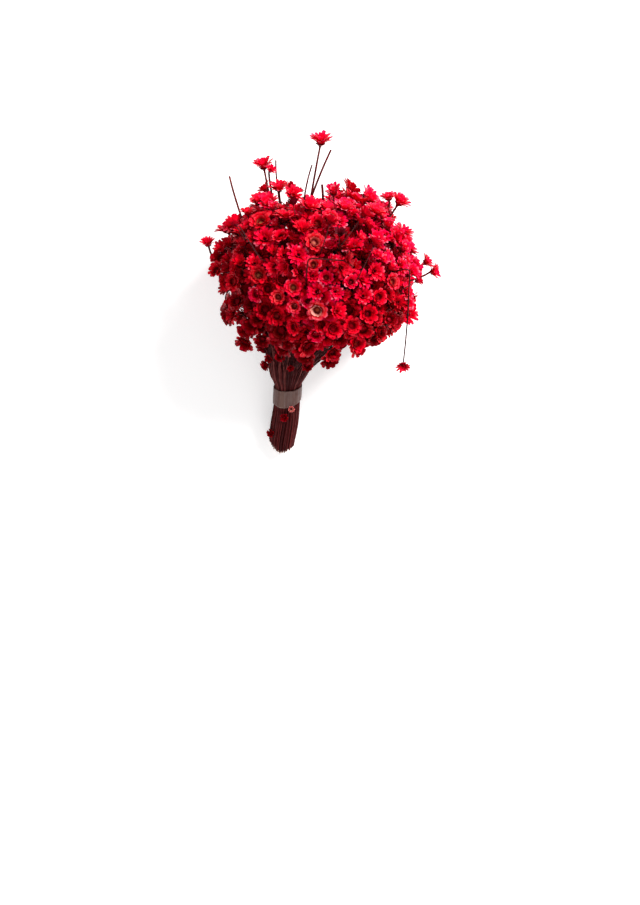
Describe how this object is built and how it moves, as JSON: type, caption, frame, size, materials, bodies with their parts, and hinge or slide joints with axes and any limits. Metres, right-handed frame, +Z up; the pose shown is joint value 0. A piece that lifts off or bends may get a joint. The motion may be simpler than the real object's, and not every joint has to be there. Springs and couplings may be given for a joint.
{
  "type": "dried flower bunch",
  "caption": "Bunch of small dyed dried star flowers: a domed head of red blooms on thin stems, gathered and tied with a frosted wrap, lying on its side.",
  "frame": {"origin": "on the surface that the bunch lies on, below the middle of its footprint", "axes": "+Z up, away from the surface; +Y along the bunch from its cut ends towards its head; +X to the right as seen from above with the head furthest away"},
  "size_m": [0.176, 0.2318, 0.1488],
  "materials": {
    "petals": "dry papery dyed petals, slightly sheened",
    "stems": "dry stems stained maroon brown by the dye",
    "wrap": "frosted translucent tape, greige"
  },
  "bodies": {
    "root": {"bloom_tier_1": "petals", "bloom_tier_2": "petals", "bloom_tier_3": "petals", "bloom_tier_4": "petals", "bloom_tier_5": "petals", "stem_bundle": "stems", "tie_wrap": "wrap", "stray_stem_crown": "stems", "stray_bloom_crown": "petals", "stray_stem_crown_bare": "stems", "stray_stem_crown_thin": "stems", "stray_stem_top_left": "stems", "stray_bloom_top_left": "petals", "stray_stem_top_left_low": "stems", "stray_bloom_top_left_low": "petals", "stray_stem_top_left_bare": "stems", "stray_stem_top_middle": "stems", "stray_bloom_top_middle": "petals", "stray_stem_top_middle_low": "stems", "stray_bloom_top_middle_low": "petals", "stray_stem_left_bare": "stems", "stray_stem_left": "stems", "stray_bloom_left": "petals", "stray_stem_left_thin": "stems", "stray_stem_top_right": "stems", "stray_bloom_top_right": "petals", "stray_stem_top_right_low": "stems", "stray_bloom_top_right_low": "petals", "stray_stem_short_bare": "stems", "stray_stem_right": "stems", "stray_bloom_right": "petals", "stray_stem_right_high": "stems", "stray_bloom_right_high": "petals", "stray_stem_right_low": "stems", "stray_bloom_right_low": "petals", "stray_stem_broken": "stems", "stray_bloom_broken": "petals", "stray_stem_left_front": "stems", "stray_stem_bent": "stems", "stray_bloom_bent": "petals", "caught_bloom_wrap_edge": "petals", "caught_bloom_below_wrap": "petals", "caught_bloom_flare_left": "petals", "caught_bloom_flare_side": "petals", "caught_bloom_flare_upper": "petals", "caught_bloom_flare_front": "petals", "caught_bloom_flare_right": "petals", "caught_bloom_low_left": "petals"}
  },
  "joints": []
}
